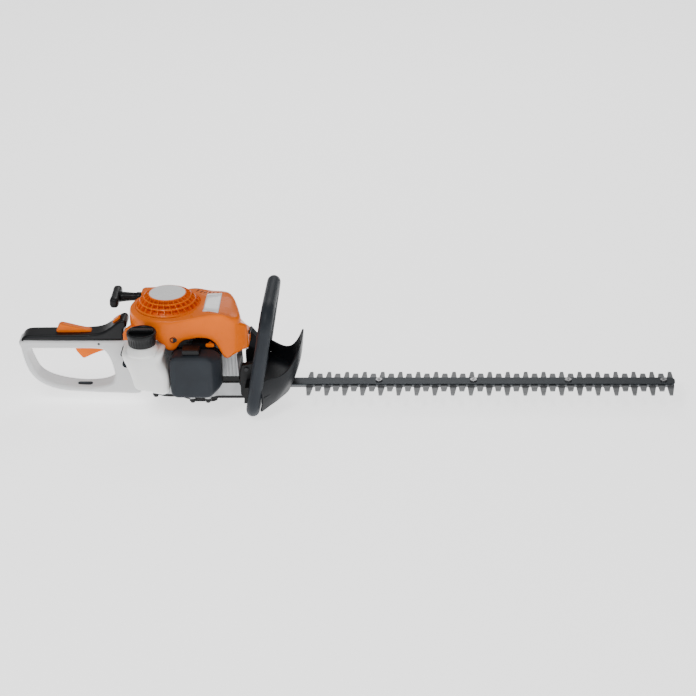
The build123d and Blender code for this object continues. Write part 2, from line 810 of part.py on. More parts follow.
with BuildPart() as engine_shroud:
    with BuildSketch(Plane.XY.offset(shroud_low)):
        add(shroud_plan(0))
    extrude(amount=rim_z - shroud_low)
    with BuildSketch(Plane.XY.offset(rim_z)):
        add(shroud_plan(4))
    extrude(amount=deck_z - rim_z)
    with BuildSketch(Plane.XY.offset(deck_z - 4)) as dome_foot:
        with Locations((crank_x, 0)):
            Circle(grille_r)
    with BuildSketch(Plane.XY.offset(disc_z - 1)) as dome_top:
        with Locations((crank_x, 0)):
            Circle(disc_r)
    loft()
    # slope of the deck down to the nose, and the hollow under it
    with BuildSketch(Plane.XZ):
        Polygon((58, 181), (90, 181), (90, 152), (84, 157), align=None)
    extrude(amount=70, both=True, mode=Mode.SUBTRACT)
    add(hollow.part, mode=Mode.SUBTRACT)
    with BuildSketch(Plane.XY.offset(rim_z - wall)) as bowl_foot:
        with Locations((crank_x, 0)):
            Circle(grille_r - 3)
    with BuildSketch(Plane.XY.offset(disc_z - 1 - wall)) as bowl_top:
        with Locations((crank_x, 0)):
            Circle(disc_r - 2)
    loft(mode=Mode.SUBTRACT)
    add(cheeks.part)
    # air slots of the grille, in three rings
    with BuildSketch(Plane.XY.offset(rim_z - 4)):
        for ring_r, count in ((35.5, 20), (42.5, 20), (49.5, 20)):
            with Locations((crank_x, 0)):
                with PolarLocations(ring_r, count):
                    Rectangle(5.4, 2 * pi * ring_r / count - 2.4)
    extrude(amount=30, mode=Mode.SUBTRACT)
    # centre post that carries the rope pulley
    with BuildSketch(Plane.XY.offset(170)):
        with Locations((crank_x, 0)):
            Circle(6)
    extrude(amount=disc_z - 2 - 170)
    # rope outlet
    with BuildSketch(Plane.YZ.offset(-101.7)):
        with Locations((rope_y, rope_z - 6)):
            Circle(8.5)
    extrude(amount=13.7)
    with BuildSketch(Plane.YZ.offset(-110)):
        with Locations((rope_y, rope_z - 6)):
            Circle(3.2)
    extrude(amount=30, mode=Mode.SUBTRACT)
engine_shroud.part.label = "engine_shroud"
export_step(engine_shroud.part, "parts/engine_shroud.step")

with BuildPart() as casing_screws:
    with BuildSketch(Plane.XZ.offset(62)):
        with Locations((-35, 141)):
            Circle(3.4)
    extrude(amount=4)
    with BuildSketch(Plane.XZ.offset(-62)):
        with Locations((-35, 141)):
            Circle(3.4)
    extrude(amount=-4)
    with BuildSketch(Plane.YZ.offset(84)):
        with Locations((-20, 139), (-34, 141)):
            Circle(3.4)
    extrude(amount=2.4)
    add(engine_shroud.part, mode=Mode.SUBTRACT)
    for side in (53, -55.5):
        with BuildSketch(Plane.XZ.offset(side)):
            with Locations((79, 82)):
                Circle(3.4)
        extrude(amount=2.5)
casing_screws.part.label = "casing_screws"
export_step(casing_screws.part, "parts/casing_screws.step")

with BuildPart() as badge_disc:
    with BuildSketch(Plane.XY.offset(disc_z - 1)):
        with Locations((crank_x, 0)):
            Circle(disc_r)
    extrude(amount=1.2)
badge_disc.part.label = "badge_disc"
export_step(badge_disc.part, "parts/badge_disc.step")

with BuildPart() as deck_label:
    with BuildSketch(Plane.XY.offset(deck_z)):
        with Locations((23, -6)):
            Rectangle(26, 74)
    extrude(amount=0.4)
deck_label.part.label = "deck_label"
export_step(deck_label.part, "parts/deck_label.step")

with BuildPart() as rope_pulley:
    with BuildSketch(Plane.XY.offset(170)):
        with Locations((crank_x, 0)):
            Circle(pulley_r + 2)
    extrude(amount=10)
    with BuildSketch(Plane.XY.offset(172.5)):
        with Locations((crank_x, 0)):
            Circle(pulley_r + 5)
            Circle(pulley_r - 5, mode=Mode.SUBTRACT)
    extrude(amount=5, mode=Mode.SUBTRACT)
    with BuildSketch(Plane.XY.offset(160)):
        with Locations((crank_x, 0)):
            Circle(6 + 0.05)
    extrude(amount=30, mode=Mode.SUBTRACT)
rope_pulley.part.label = "rope_pulley"
export_step(rope_pulley.part, "parts/rope_pulley.step")

with BuildPart() as wound_rope:
    with BuildSketch(Plane.XY.offset(172.8)):
        with Locations((crank_x, 0)):
            Circle(pulley_r)
            Circle(pulley_r - 4.7, mode=Mode.SUBTRACT)
    extrude(amount=4.4)
wound_rope.part.label = "wound_rope"
export_step(wound_rope.part, "parts/wound_rope.step")

with BuildPart() as recoil_spring:
    with BuildSketch(Plane.XY.offset(181)):
        with Locations((crank_x, 0)):
            for coil_r in (10, 15, 20, 25):
                Circle(coil_r + 1.2)
                Circle(coil_r, mode=Mode.SUBTRACT)
            Rectangle(52, 2)
            Circle(6.5, mode=Mode.SUBTRACT)
    extrude(amount=6)
recoil_spring.part.label = "recoil_spring"
export_step(recoil_spring.part, "parts/recoil_spring.step")

rope_line = rope_z - 6
with BuildPart() as starter_grip:
    with BuildSketch(Plane.YZ.offset(-102.2)):
        with Locations((rope_y, rope_line)):
            Circle(7.5)
            Circle(2.2, mode=Mode.SUBTRACT)
    extrude(amount=-38)
    with BuildSketch(Plane.YZ.offset(-138)):
        with Locations((rope_y, rope_line)):
            SlotOverall(60, 18)
    extrude(amount=-16)
    fillet(starter_grip.faces().sort_by(Axis.X)[0].edges(), 4)
starter_grip.part.label = "starter_grip"
export_step(starter_grip.part, "parts/starter_grip.step")

with BuildPart() as rope_end:
    with BuildSketch(Plane.YZ.offset(-92)):
        with Locations((rope_y, rope_line)):
            Circle(2.2)
    extrude(amount=-46)
rope_end.part.label = "rope_end"
export_step(rope_end.part, "parts/rope_end.step")

# ------------------------------------------------------------------- fuel tank
cap_x = -87.0
cap_y = -82.0
tank_low = 56.0
tank_high = 134.0
neck_top = 147.5
neck_bore = 13.0
cap_foot_z = neck_top - 6
cap_crown_z = neck_top + 16


with BuildPart() as tank_room:
    with BuildSketch(Plane.XY.offset(tank_low + 2.5)):
        with Locations((-83, -72)):
            RectangleRounded(73, 55, 11.5)
    extrude(amount=tank_high - tank_low - 5)
    with BuildSketch(Plane.XZ):
        Polygon((-125, 50), (-102.5, 50), (-119.5, 118), (-125, 118), align=None)
    extrude(amount=110, mode=Mode.SUBTRACT)
    with BuildSketch(Plane.XY.offset(tank_high - 10)):
        with Locations((cap_x, cap_y)):
            Circle(neck_bore)
    extrude(amount=30)

with BuildPart() as fuel_tank:
    with BuildSketch(Plane.XY.offset(tank_low)):
        with Locations((-83, -72)):
            RectangleRounded(78, 60, 14)
    extrude(amount=tank_high - tank_low)
    with BuildSketch(Plane.XZ):
        Polygon((-125, 50), (-105.5, 50), (-122, 116), (-125, 116), align=None)
    extrude(amount=110, mode=Mode.SUBTRACT)
    fillet(fuel_tank.faces().sort_by(Axis.Z)[-1].edges(), 5)
    with BuildSketch(Plane.XY.offset(tank_high - 4)):
        with Locations((cap_x, cap_y)):
            Circle(19)
    extrude(amount=neck_top - tank_high + 4)
    add(tank_room.part, mode=Mode.SUBTRACT)
fuel_tank.part.label = "fuel_tank"
export_step(fuel_tank.part, "parts/fuel_tank.step")

with BuildPart() as cap_gasket:
    with BuildSketch(Plane.XY.offset(neck_top + 0.2)):
        with Locations((cap_x, cap_y)):
            Circle(18.5)
            Circle(neck_bore - 0.2, mode=Mode.SUBTRACT)
    extrude(amount=1.8)
cap_gasket.part.label = "cap_gasket"
export_step(cap_gasket.part, "parts/cap_gasket.step")

with BuildPart() as fuel_cap:
    with BuildSketch(Plane.XY.offset(cap_foot_z)) as cap_foot:
        with Locations((cap_x, cap_y)):
            Circle(22)
    with BuildSketch(Plane.XY.offset(cap_crown_z)) as cap_crown:
        with Locations((cap_x, cap_y)):
            Circle(24)
    loft()
    fillet(fuel_cap.faces().sort_by(Axis.Z)[-1].edges(), 2)
    with BuildSketch(Plane.XY.offset(cap_foot_z)):
        with Locations((cap_x, cap_y)):
            Circle(19.4)
    extrude(amount=8.3, mode=Mode.SUBTRACT)
    with BuildSketch(Plane.XY.offset(cap_foot_z)):
        with Locations((cap_x, cap_y)):
            Circle(neck_bore - 0.6)
    extrude(amount=8.3)
    with BuildSketch(Plane.XY.offset(cap_crown_z)):
        with Locations((cap_x, cap_y)):
            SlotOverall(42, 7)
    extrude(amount=6)
fuel_cap.part.label = "fuel_cap"
export_step(fuel_cap.part, "parts/fuel_cap.step")

# ------------------------------------------------------- rear handle and levers
frame_outline = [
    (-301, parting_z), (-301, 98), (-296, 75), (-289, 58), (-276, 42), (-257, 31), (-232, 24),
    (-189, 21), (-141, 19), (-108, 18), (-102, 30), (-102, 112), (-112, parting_z),
]
loop_outline = [
    (-282, 104), (-164, 104), (-157, 97), (-151, 80), (-147, 58), (-150, 42), (-160, 34),
    (-179, 29), (-231, 32), (-256, 39), (-273, 50), (-284, 72), (-289, 95),
]
cover_outline = [
    (-302, parting_z), (-298, 124), (-287, 128), (-252, 130), (-194, 131), (-168, 134),
    (-148, 145), (-131, 157), (-122, 156), (-121, 144), (-127, 141), (-127, parting_z),
]

with BuildPart() as handle_frame:
    with BuildSketch(Plane.XZ) as frame_side:
        Polygon(*frame_outline, align=None)
        Polygon(*loop_outline, align=None, mode=Mode.SUBTRACT)
    extrude(amount=grip_half, both=True)
    fillet(handle_frame.edges().filter_by(GeomType.LINE).filter_by_position(
        Axis.Y, -grip_half, -grip_half).filter_by_position(Axis.Z, 17, 100), 3)
    with BuildSketch(Plane.XZ):
        with Locations((-213, 112.5)):
            Rectangle(160, 10)
    extrude(amount=grip_half - 3, both=True, mode=Mode.SUBTRACT)
    with BuildSketch(Plane.XY.offset(100)):
        with Locations((-189, 0)):
            Rectangle(62, 13)
    extrude(amount=10, mode=Mode.SUBTRACT)
    with BuildSketch(Plane.XY.offset(24)):
        with Locations((-122, 0)):
            Rectangle(30, 26)
    extrude(amount=100, mode=Mode.SUBTRACT)
    with BuildSketch(Plane.XZ):
        with Locations((-170, 111)):
            Circle(2)
    extrude(amount=20, both=True, mode=Mode.SUBTRACT)
handle_frame.part.label = "handle_frame"
export_step(handle_frame.part, "parts/handle_frame.step")

with BuildPart() as handle_cover:
    with BuildSketch(Plane.XZ):
        Polygon(*cover_outline, align=None)
    extrude(amount=grip_half, both=True)
    with BuildSketch(Plane.XZ):
        Polygon(
            (-293, 116), (-289, 124), (-252, 127), (-194, 128), (-168, 131), (-148, 141),
            (-132, 152), (-126, 152), (-130, 141), (-130, 116), align=None,
        )
    extrude(amount=grip_half - 3, both=True, mode=Mode.SUBTRACT)
    with BuildSketch(Plane.XY.offset(120)):
        with Locations((-211, 0)):
            Rectangle(60, 13)
        with Locations((-139.5, 0)):
            Rectangle(17, 11)
    extrude(amount=40, mode=Mode.SUBTRACT)
    with BuildSketch(Plane.XZ):
        with Locations((-186, 125)):
            Circle(2)
    extrude(amount=20, both=True, mode=Mode.SUBTRACT)
handle_cover.part.label = "handle_cover"
export_step(handle_cover.part, "parts/handle_cover.step")

with BuildPart() as throttle_trigger:
    with BuildSketch(Plane.XZ):
        Polygon(
            (-212, 98), (-203, 84), (-199, 81), (-194, 84), (-186, 92), (-166, 97),
            (-163, 111), (-170, 116), (-178, 113), (-210, 110), align=None,
        )
        with Locations((-170, 111)):
            Circle(2 + shaft_fit, mode=Mode.SUBTRACT)
    extrude(amount=6, both=True)
throttle_trigger.part.label = "throttle_trigger"
export_step(throttle_trigger.part, "parts/throttle_trigger.step")

with BuildPart() as trigger_lockout:
    with BuildSketch(Plane.XZ):
        Polygon(
            (-240, 126), (-237, 139), (-232, 142.5), (-200, 134.5), (-184, 131),
            (-182.5, 124), (-186, 121), (-200, 124), align=None,
        )
        with Locations((-186, 125)):
            Circle(2 + shaft_fit, mode=Mode.SUBTRACT)
    extrude(amount=6, both=True)
trigger_lockout.part.label = "trigger_lockout"
export_step(trigger_lockout.part, "parts/trigger_lockout.step")

with BuildPart() as handle_pins:
    with BuildSketch(Plane.XZ):
        with Locations((-170, 111), (-186, 125)):
            Circle(2)
    extrude(amount=grip_half, both=True)
handle_pins.part.label = "handle_pins"
export_step(handle_pins.part, "parts/handle_pins.step")

with BuildPart() as stop_switch:
    with BuildSketch(Plane.XZ):
        Polygon((-145.5, 143), (-145.5, 148), (-136, 155), (-133.5, 155), (-133.5, 150), align=None)
    extrude(amount=5, both=True)
stop_switch.part.label = "stop_switch"
export_step(stop_switch.part, "parts/stop_switch.step")

with BuildPart() as av_buffers:
    with BuildSketch(Plane.YZ.offset(-102)):
        with Locations((0, 68), (0, 96)):
            Circle(9)
    extrude(amount=22)
    with BuildSketch(Plane.XZ.offset(30)):
        with Locations((-37, 90), (-37, 106)):
            Circle(6)
    extrude(amount=22)
    with BuildSketch(Plane.XZ.offset(grip_half)):
        with Locations((-123.5, 83), (-127, 103)):
            Circle(4)
    extrude(amount=24)
    with BuildSketch(Plane.XY.offset(50)):
        with Locations((crank_x, 0)):
            Circle(clutch_case_r)
    extrude(amount=35, mode=Mode.SUBTRACT)
    with BuildSketch(Plane.XY.offset(85)):
        with Locations((crank_x, 0)):
            Circle(case_r)
    extrude(amount=60, mode=Mode.SUBTRACT)
av_buffers.part.label = "av_buffers"
export_step(av_buffers.part, "parts/av_buffers.step")

# ------------------------------------------------ front handle, frame and guard
hoop_top = 192.0
hoop_low = hoop_r
hoop_mid = 12.0


def hoop_x(level):
    """X of the hoop's centre line at a height."""
    return hoop_foot_x + hoop_lean * (level - hoop_mid)


with BuildPart() as front_handle:
    with BuildLine() as hoop_path:
        FilletPolyline(
            (hoop_x(hoop_top), 76, hoop_top), (hoop_x(hoop_low), 86, hoop_low),
            (hoop_x(hoop_low), -86, hoop_low), (hoop_x(hoop_top), -76, hoop_top),
            radius=30, close=True,
        )
    with BuildSketch(Plane(origin=hoop_path.line @ 0, z_dir=hoop_path.line % 0)):
        Circle(hoop_r)
    sweep()
front_handle.part.label = "front_handle"
export_step(front_handle.part, "parts/front_handle.step")

with BuildPart() as spacer_band:
    with BuildSketch(Plane.XY.offset(50)):
        with Locations((50.5, 0)):
            Rectangle(27, 74)
    extrude(amount=11)
    add(gear_housing.part, mode=Mode.SUBTRACT)
spacer_band.part.label = "spacer_band"
export_step(spacer_band.part, "parts/spacer_band.step")

with BuildPart() as engine_frame:
    with BuildSketch(Plane.XZ):
        Polygon(
            (37, 61), (64, 61), (62, 100), (66, 109), (82, 112), (82, 118), (38, 118), align=None,
        )
    extrude(amount=36.5, both=True)
    with BuildSketch(Plane.XY.offset(68)):
        with Locations((60, 0)):
            Rectangle(60, 66)
    extrude(amount=60, mode=Mode.SUBTRACT)
engine_frame.part.label = "engine_frame"
export_step(engine_frame.part, "parts/engine_frame.step")

with BuildPart() as handle_brackets:
    with BuildSketch(Plane.XZ.offset(41)):
        Polygon(
            (68, 35), (80, 25), (96, 25), (98, 88), (90, 92), (72, 88), (68, 70), align=None,
        )
    extrude(amount=12)
    with BuildSketch(Plane.XZ.offset(53)):
        Polygon((76, 34), (96, 34), (98, 62), (78, 62), align=None)
    extrude(amount=30)
    mirror(about=Plane.XZ)
    with BuildSketch(Plane.XY.offset(38)):
        with Locations((79, 31), (79, -31)):
            Rectangle(10, 22)
    extrude(amount=9)
    add(front_handle.part, mode=Mode.SUBTRACT)
    add(gear_housing.part, mode=Mode.SUBTRACT)
handle_brackets.part.label = "handle_brackets"
export_step(handle_brackets.part, "parts/handle_brackets.step")

guard_lean = 0.22
with BuildPart() as hand_guard:
    with BuildSketch(Plane.XY.offset(18)):
        with BuildLine():
            Polyline(
                (104, -88), (118, -72), (134, -46), (144, -28), (148, -12), (148, 12),
                (144, 28), (134, 46), (118, 72), (104, 88),
            )
            offset(amount=3, side=Side.LEFT, closed=True)
        make_face()
    extrude(amount=102, dir=(guard_lean, 0, 1))
    with BuildSketch(Plane.XY.offset(44)):
        Polygon(
            (103, -88), (111, -88), (141, -45), (155, -12), (155, 12), (141, 45), (111, 88), (103, 88),
            align=None,
        )
    extrude(amount=3)
    with BuildSketch(Plane.YZ.offset(60)):
        for side in (1, -1):
            Polygon(
                (side * 31, 130), (side * 33, 108), (side * 42, 88), (side * 52, 72),
                (side * 75, 70), (side * 120, 66), (side * 120, 130), align=None,
            )
    extrude(amount=140, mode=Mode.SUBTRACT)
    with BuildSketch(Plane.YZ.offset(100)):
        with Locations((0, 22)):
            Rectangle(31, 38)
    extrude(amount=80, mode=Mode.SUBTRACT)
    add(front_handle.part, mode=Mode.SUBTRACT)
    add(handle_brackets.part, mode=Mode.SUBTRACT)
hand_guard.part.label = "hand_guard"
export_step(hand_guard.part, "parts/hand_guard.step")
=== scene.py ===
import json
from math import cos, pi, radians, sin

import bmesh
import bpy
from mathutils import Matrix, Vector


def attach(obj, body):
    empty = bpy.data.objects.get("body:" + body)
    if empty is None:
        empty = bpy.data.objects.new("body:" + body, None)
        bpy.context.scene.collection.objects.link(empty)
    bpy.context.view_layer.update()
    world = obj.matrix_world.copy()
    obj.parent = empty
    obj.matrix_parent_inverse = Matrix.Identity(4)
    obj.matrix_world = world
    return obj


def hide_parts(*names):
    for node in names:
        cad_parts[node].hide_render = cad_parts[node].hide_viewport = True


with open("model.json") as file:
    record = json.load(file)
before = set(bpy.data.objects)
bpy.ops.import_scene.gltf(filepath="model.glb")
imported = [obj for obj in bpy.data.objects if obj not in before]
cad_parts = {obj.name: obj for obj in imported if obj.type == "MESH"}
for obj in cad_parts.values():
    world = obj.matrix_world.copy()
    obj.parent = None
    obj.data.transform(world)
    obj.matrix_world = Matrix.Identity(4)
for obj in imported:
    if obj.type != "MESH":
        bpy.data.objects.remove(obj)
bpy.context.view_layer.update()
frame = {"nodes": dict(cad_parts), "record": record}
MM = 0.001
CHASSIS = "chassis"


# ------------------------------------------------------------------ materials
def material(name, color, rough, metal=0.0, spec=0.5, coat=0.0):
    """A principled material and the parts that the surface detail links to."""
    mat = bpy.data.materials.new(name)
    mat.use_nodes = True
    nodes = mat.node_tree.nodes
    shader = nodes["Principled BSDF"]
    shader.inputs["Base Color"].default_value = (*color, 1)
    shader.inputs["Roughness"].default_value = rough
    shader.inputs["Metallic"].default_value = metal
    shader.inputs["Specular IOR Level"].default_value = spec
    shader.inputs["Coat Weight"].default_value = coat
    return mat, nodes, mat.node_tree.links, shader


def noise(nodes, links, scale, detail=4.0, stretch=None):
    """Noise in the object's own metres, stretched along an axis if asked."""
    place = nodes.new("ShaderNodeTexCoord")
    tex = nodes.new("ShaderNodeTexNoise")
    tex.inputs["Scale"].default_value = scale
    tex.inputs["Detail"].default_value = detail
    source = place.outputs["Object"]
    if stretch:
        mapping = nodes.new("ShaderNodeMapping")
        mapping.inputs["Scale"].default_value = stretch
        links.new(source, mapping.inputs["Vector"])
        source = mapping.outputs["Vector"]
    links.new(source, tex.inputs["Vector"])
    return tex


def mottled(nodes, links, shader, tex, dark, light):
    """Colour that wanders between two close tones."""
    ramp = nodes.new("ShaderNodeValToRGB")
    ramp.color_ramp.elements[0].position = 0.35
    ramp.color_ramp.elements[0].color = (*dark, 1)
    ramp.color_ramp.elements[1].position = 0.65
    ramp.color_ramp.elements[1].color = (*light, 1)
    links.new(tex.outputs["Fac"], ramp.inputs["Fac"])
    links.new(ramp.outputs["Color"], shader.inputs["Base Color"])


def bumped(nodes, links, shader, tex, depth, strength):
    """Fine relief of a depth in metres."""
    bump = nodes.new("ShaderNodeBump")
    bump.inputs["Distance"].default_value = depth
    bump.inputs["Strength"].default_value = strength
    links.new(tex.outputs["Fac"], bump.inputs["Height"])
    links.new(bump.outputs["Normal"], shader.inputs["Normal"])


def roughened(nodes, links, shader, tex, low, high):
    """Roughness that wanders between two values."""
    span = nodes.new("ShaderNodeMapRange")
    span.inputs["To Min"].default_value = low
    span.inputs["To Max"].default_value = high
    links.new(tex.outputs["Fac"], span.inputs["Value"])
    links.new(span.outputs["Result"], shader.inputs["Roughness"])


def tones(color, spread):
    """A darker and a lighter tone of a colour."""
    return tuple(c * (1 - spread) for c in color), tuple(min(1, c * (1 + spread)) for c in color)


def moulded(name, color, rough, grain, depth=0.00012, spread=0.12, spec=0.5, coat=0.0):
    """Moulded plastic: fine grain, faint colour drift, handled sheen."""
    mat, nodes, links, shader = material(name, color, rough, spec=spec, coat=coat)
    mottled(nodes, links, shader, noise(nodes, links, 26, 5), *tones(color, spread))
    bumped(nodes, links, shader, noise(nodes, links, grain, 2), depth, 0.35)
    roughened(nodes, links, shader, noise(nodes, links, 55, 6), rough - 0.07, rough + 0.09)
    return mat


def metal_finish(name, color, rough, grain, stretch=None, depth=0.00008, spread=0.15, metal=1.0):
    """Cast or ground metal, with its grain along one axis if it is ground."""
    mat, nodes, links, shader = material(name, color, rough, metal=metal)
    mottled(nodes, links, shader, noise(nodes, links, 40, 6, stretch), *tones(color, spread))
    bumped(nodes, links, shader, noise(nodes, links, grain, 3, stretch), depth, 0.4)
    roughened(nodes, links, shader, noise(nodes, links, 90, 5, stretch), rough - 0.1, rough + 0.12)
    return mat


orange = moulded(
    "orange_shell", (0.86, 0.155, 0.0), 0.28, 1500, 0.00004, 0.05, spec=0.12, coat=0.04)
white = moulded("white_handle", (0.66, 0.665, 0.67), 0.42, 1800, 0.00006, 0.03)
black = moulded("black_plastic", (0.006, 0.0065, 0.0075), 0.36, 1300, 0.0001, 0.2, spec=0.22)
slate = moulded("slate_plastic", (0.018, 0.022, 0.028), 0.5, 1100, 0.00016, 0.12, spec=0.2)
guard_black = moulded("guard_plastic", (0.0085, 0.01, 0.0125), 0.42, 900, spread=0.15, spec=0.22)
rubber = moulded("rubber", (0.014, 0.0165, 0.02), 0.7, 700, 0.0001, 0.2, spec=0.15)
cast = metal_finish("cast_metal", (0.4, 0.41, 0.42), 0.45, 900, None, 0.0002, 0.08, 0.6)
blade_steel = metal_finish(
    "blade_steel", (0.17, 0.175, 0.18), 0.42, 600, (1, 14, 14), 0.0001, 0.25, 0.35)
bar_steel = metal_finish(
    "bar_steel", (0.035, 0.04, 0.046), 0.4, 500, (1, 18, 18), spread=0.18, metal=0.7)
steel = metal_finish("steel", (0.5, 0.5, 0.51), 0.32, 800)
dark_steel = metal_finish("dark_steel", (0.03, 0.031, 0.033), 0.45, 800, None, 0.0001, 0.2, 0.6)
felt = moulded("filter_felt", (0.7, 0.66, 0.52), 0.9, 2500, 0.0004, 0.1)
rope = moulded("rope", (0.75, 0.75, 0.72), 0.8, 1200, 0.0004, 0.1)
badge_white = moulded("badge_white", (0.88, 0.88, 0.88), 0.25, 1500, 0.00002, 0.01, coat=0.4)


def tank_material():
    """Milky polyethylene that lets some light through."""
    mat, nodes, links, shader = material("tank_plastic", (0.86, 0.865, 0.85), 0.38)
    clouds = noise(nodes, links, 18, 4)
    mottled(nodes, links, shader, clouds, (0.82, 0.825, 0.81), (0.9, 0.905, 0.89))
    bumped(nodes, links, shader, noise(nodes, links, 160, 4), 0.0004, 0.25)
    shader.inputs["Subsurface Weight"].default_value = 0.35
    shader.inputs["Subsurface Scale"].default_value = 0.012
    shader.inputs["Subsurface Radius"].default_value = (1.0, 0.95, 0.9)
    return mat


tank_plastic = tank_material()

SLOT_MATERIAL = {
    "orange_plastic": orange,
    "white_plastic": white,
    "tank_plastic": tank_plastic,
    "black_plastic": black,
    "slate_plastic": slate,
    "rubber": rubber,
    "cast_metal": cast,
    "blade_steel": blade_steel,
    "bar_steel": bar_steel,
    "steel": steel,
    "dark_steel": dark_steel,
    "filter_felt": felt,
    "rope": rope,
    "badge": badge_white,
}


def dress(node, mat):
    """Gives a CAD node its finished material."""
    obj = frame["nodes"][node]
    if obj.data.materials:
        for i in range(len(obj.data.materials)):
            obj.data.materials[i] = mat
    else:
        obj.data.materials.append(mat)


for part in frame["record"]["subparts"]:
    if part["node"] in frame["nodes"]:
        dress(part["node"], SLOT_MATERIAL[part["material_slot"]])
dress("hand_guard", guard_black)
dress("carburettor", dark_steel)
dress("handle_pins", black)


# ------------------------------------------------------------- mesh utilities
def finish_piece(obj, mat, body, node=None):
    """Gives a piece its material and body, and hides the CAD node it stands in for."""
    obj.data.materials.append(mat)
    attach(obj, body)
    if node:
        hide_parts(node)


def mesh_object(name, verts, faces, smooth=True):
    """A new object from points in millimetres."""
    mesh = bpy.data.meshes.new(name)
    mesh.from_pydata([(x * MM, y * MM, z * MM) for x, y, z in verts], [], faces)
    mesh.update()
    editable = bmesh.new()
    editable.from_mesh(mesh)
    bmesh.ops.recalc_face_normals(editable, faces=editable.faces)
    editable.to_mesh(mesh)
    editable.free()
    for face in mesh.polygons:
        face.use_smooth = smooth
    obj = bpy.data.objects.new(name, mesh)
    bpy.context.scene.collection.objects.link(obj)
    return obj


def skin(name, rings, caps=(True, True), closed=True):
    """Quads between rings of equal count, with flat end caps if asked."""
    count = len(rings[0])
    verts = [p for ring in rings for p in ring]
    faces = []
    for r in range(len(rings) - 1):
        for i in range(count if closed else count - 1):
            j = (i + 1) % count
            here, above = r * count, (r + 1) * count
            faces.append((here + i, here + j, above + j, above + i))
    if caps[0]:
        faces.append(tuple(range(count))[::-1])
    if caps[1]:
        faces.append(tuple((len(rings) - 1) * count + i for i in range(count)))
    return mesh_object(name, verts, faces)


def subdivide(obj, levels=2):
    """Smooths an object by subdivision."""
    sub = obj.modifiers.new("smooth", "SUBSURF")
    sub.levels = levels
    sub.render_levels = levels
    return obj


def bevelled(obj, width, segments=3, angle=35):
    """Rounds an object's sharp edges by a width in millimetres."""
    bevel = obj.modifiers.new("edge", "BEVEL")
    bevel.width = width * MM
    bevel.segments = segments
    bevel.limit_method = "ANGLE"
    bevel.angle_limit = radians(angle)
    bevel.harden_normals = True


def thicken(obj, name, thickness, offset):
    """Gives a sheet a wall of a thickness in millimetres."""
    wall = obj.modifiers.new(name, "SOLIDIFY")
    wall.thickness = thickness * MM
    wall.offset = offset
    return wall


def smooth_loop(points, per_span=6):
    """Closed Catmull-Rom curve through 2D or 3D points."""
    out = []
    n = len(points)
    for i in range(n):
        a, b, c, d = (Vector(points[(i + k - 1) % n]) for k in range(4))
        for s in range(per_span):
            t = s / per_span
            out.append(tuple(0.5 * (2 * b + (c - a) * t + (2 * a - 5 * b + 4 * c - d) * t * t
                                    + (3 * b - a - 3 * c + d) * t * t * t)))
    return out


def slab(name, outlines, low, high, edge, upright=True):
    """A rounded-edge plate from closed outlines, the first the outside and the rest holes.

    Upright plates lie in XZ and run from low to high in Y; the others lie in XY.
    """
    curve = bpy.data.curves.new(name + "_outline", "CURVE")
    curve.dimensions = "2D"
    curve.fill_mode = "BOTH"
    curve.extrude = ((high - low) / 2 - edge) * MM
    curve.bevel_depth = edge * MM
    curve.bevel_resolution = 3
    curve.offset = -edge * MM
    for points in outlines:
        spline = curve.splines.new("POLY")
        spline.points.add(len(points) - 1)
        for point, (u, v) in zip(spline.points, points):
            point.co = (u * MM, v * MM, 0, 1)
        spline.use_cyclic_u = True
    holder = bpy.data.objects.new(name + "_holder", curve)
    bpy.context.scene.collection.objects.link(holder)
    bpy.context.view_layer.update()
    solid = holder.evaluated_get(bpy.context.evaluated_depsgraph_get())
    mesh = bpy.data.meshes.new_from_object(solid)
    bpy.data.objects.remove(holder)
    middle = (low + high) / 2 * MM
    if upright:
        mesh.transform(Matrix(((1, 0, 0, 0), (0, 0, 1, middle), (0, 1, 0, 0), (0, 0, 0, 1))))
        mesh.flip_normals()
    else:
        mesh.transform(Matrix.Translation((0, 0, middle)))
    mesh.name = name
    for face in mesh.polygons:
        face.use_smooth = True
    obj = bpy.data.objects.new(name, mesh)
    bpy.context.scene.collection.objects.link(obj)
    sharp = obj.modifiers.new("crease", "WEIGHTED_NORMAL")
    sharp.keep_sharp = True
    return obj


def round_rect(cx, cy, width, height, radius, per_corner=8):
    """Points round a rounded rectangle."""
    out = []
    for k, (sx, sy) in enumerate(((1, 1), (-1, 1), (-1, -1), (1, -1))):
        for i in range(per_corner):
            a = (k + i / (per_corner - 1)) * pi / 2
            out.append((cx + sx * (width / 2 - radius) + radius * cos(a),
                        cy + sy * (height / 2 - radius) + radius * sin(a)))
    return out


def lathe(name, center, profile, count=64, axis="Z", wave=None):
    """Revolved piece: profile is (radius, height) pairs; wave(row, angle) scales a point."""
    rings = []
    for row, (radius, level) in enumerate(profile):
        ring = []
        for i in range(count):
            a = 2 * pi * i / count
            r = radius * (wave(row, a) if wave else 1)
            u, v = r * cos(a), r * sin(a)
            if axis == "Z":
                ring.append((center[0] + u, center[1] + v, center[2] + level))
            elif axis == "Y":
                ring.append((center[0] + u, center[1] + level, center[2] + v))
            else:
                ring.append((center[0] + level, center[1] + u, center[2] + v))
        rings.append(ring)
    return skin(name, rings)


